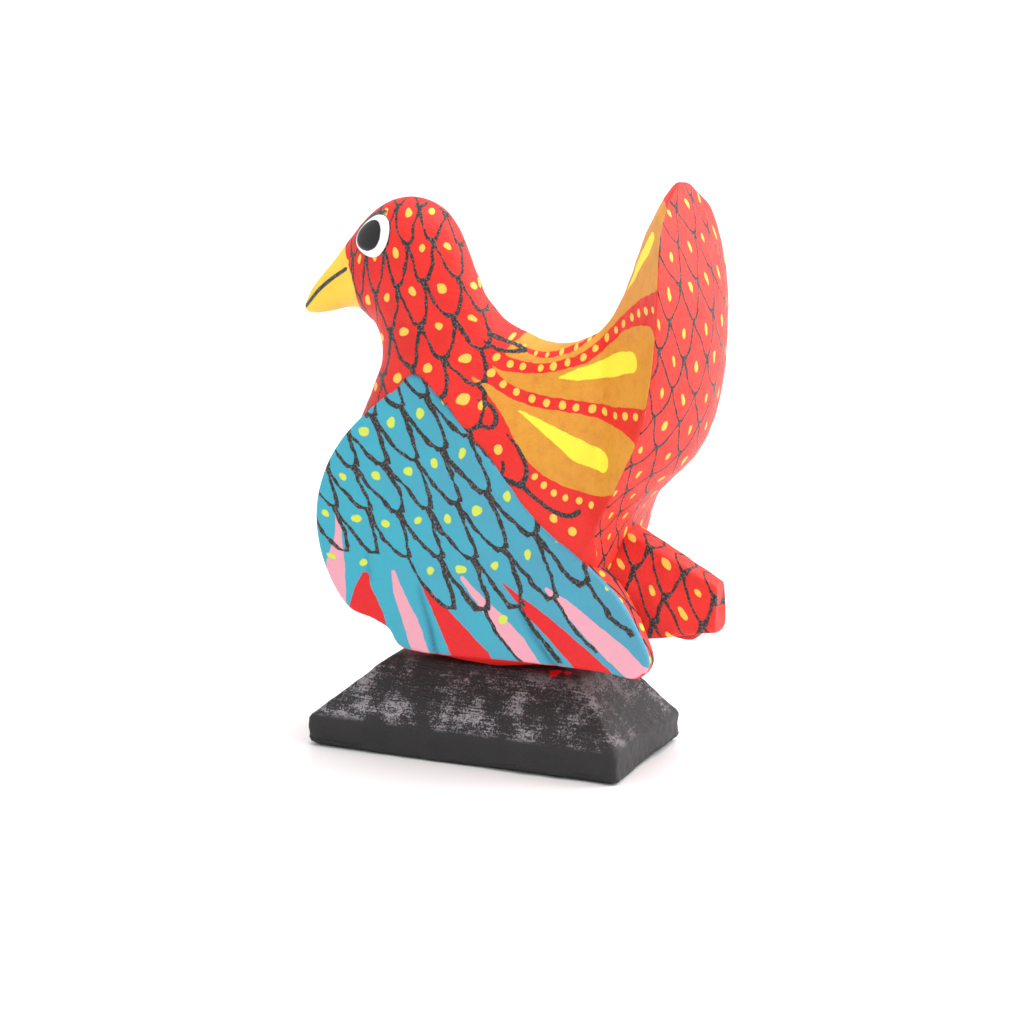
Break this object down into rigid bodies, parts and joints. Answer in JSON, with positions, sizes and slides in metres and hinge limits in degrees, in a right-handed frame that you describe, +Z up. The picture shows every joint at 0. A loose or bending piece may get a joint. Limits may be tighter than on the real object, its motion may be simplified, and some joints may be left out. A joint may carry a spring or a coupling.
{
  "type": "carved bird figure",
  "caption": "Small carved and painted wooden bird with a fan tail and board wings, standing on a sloping black block, to be shown on a shelf.",
  "frame": {"origin": "centre of the base block's underside", "axes": "+X towards the beak, +Y to the bird's left, +Z up"},
  "size_m": [0.0595, 0.0252, 0.0793],
  "materials": {
    "red_paint": "brushed acrylic paint, satin, with black feather lines and yellow dots; ochre petals on the tail's sides",
    "blue_paint": "brushed acrylic paint, satin, with black feather lines, lime dots and pink and red strokes",
    "black_paint": "thin black paint over rough grain, slightly glossy",
    "bare_wood": "bare, unpainted"
  },
  "bodies": {
    "root": {"base_block": "black_paint", "body": "red_paint", "tail_fan": "red_paint", "lower_tail": "red_paint", "wing_left": "blue_paint", "wing_right": "blue_paint", "base_dowel_front": "bare_wood", "base_dowel_rear": "bare_wood", "wing_peg_upper": "bare_wood", "wing_peg_lower": "bare_wood", "tail_fan_dowel": "bare_wood", "lower_tail_dowel": "bare_wood"}
  },
  "joints": []
}
